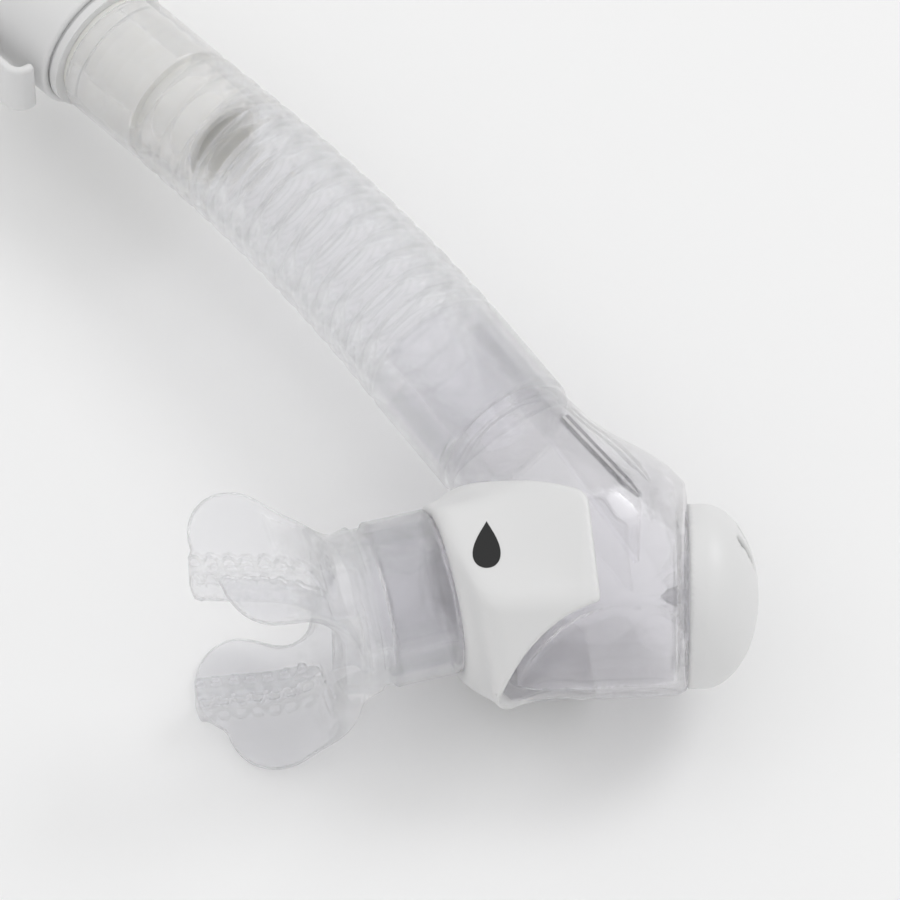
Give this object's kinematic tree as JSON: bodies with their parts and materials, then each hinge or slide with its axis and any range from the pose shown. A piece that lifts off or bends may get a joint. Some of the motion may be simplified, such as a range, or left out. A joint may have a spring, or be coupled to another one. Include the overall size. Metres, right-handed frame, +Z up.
{
  "type": "diving snorkel",
  "caption": "Diving snorkel with clear corrugated hose, side mouthpiece, purge chamber, rigid upper tube with strap keeper and float-valve dry top.",
  "frame": {"origin": "middle of the footprint on the surface that the snorkel lies on", "axes": "+X along the rigid upper tube towards its top, +Y the side the mouthpiece points to, +Z up from the surface"},
  "size_m": [0.4234, 0.1182, 0.0552],
  "materials": {
    "clear_silicone": "satin",
    "clear_polycarbonate": "gloss",
    "white_abs": "satin",
    "white_soft_seal": "matt",
    "dark_seal": "matt",
    "float_foam_white": "matt",
    "pin_steel": "satin"
  },
  "bodies": {
    "chamber": {"chamber_shell": "clear_polycarbonate", "mouthpiece": "clear_silicone", "body_cover": "white_abs", "chamber_divider": "clear_polycarbonate", "purge_seat": "white_abs", "purge_seal": "dark_seal", "purge_cover": "white_abs"},
    "flap": {"purge_flap": "clear_silicone"},
    "hose": {"flexible_hose": "clear_silicone"},
    "tube": {"upper_tube": "white_abs", "top_base": "white_abs", "top_seal": "dark_seal", "top_cap": "white_abs", "cap_screws": "pin_steel", "float_pin": "pin_steel"},
    "keeper": {"keeper_sleeve": "white_abs"},
    "clip": {"strap_clip": "white_abs"},
    "float": {"float_arm": "white_abs", "valve_pad": "white_soft_seal", "float_shell": "float_foam_white", "float_lid": "float_foam_white"}
  },
  "joints": [
    {"name": "hose_swivel", "type": "hinge", "parent": "chamber", "child": "hose", "pos_m": [-0.17417, -0.01572, 0.0276], "axis": [0.9863, -0.165, 0], "continuous": true},
    {"name": "hose_bend", "type": "hinge", "parent": "hose", "child": "tube", "pos_m": [-0.07929, -0.03017, 0.0276], "axis": [0, 0, 1], "range_deg": [-30, 40], "stiffness_Nm_per_rad": 0.12, "deforming": ["flexible_hose"]},
    {"name": "keeper_slide", "type": "slide", "parent": "tube", "child": "keeper", "axis": [1, 0, 0], "range_m": [-0.001, 0.12]},
    {"name": "clip_turn", "type": "hinge", "parent": "keeper", "child": "clip", "pos_m": [0.00212, -0.03158, 0.0276], "axis": [1, 0, 0], "continuous": true},
    {"name": "flap_lift", "type": "slide", "parent": "chamber", "child": "flap", "axis": [-0.6884, -0.7254, 0], "range_m": [0, 0.0015], "stiffness_N_per_m": 30},
    {"name": "float_rocker", "type": "hinge", "parent": "tube", "child": "float", "pos_m": [0.17072, -0.02618, 0.0276], "axis": [0, 0, -1], "range_deg": [0, 13.5]}
  ]
}
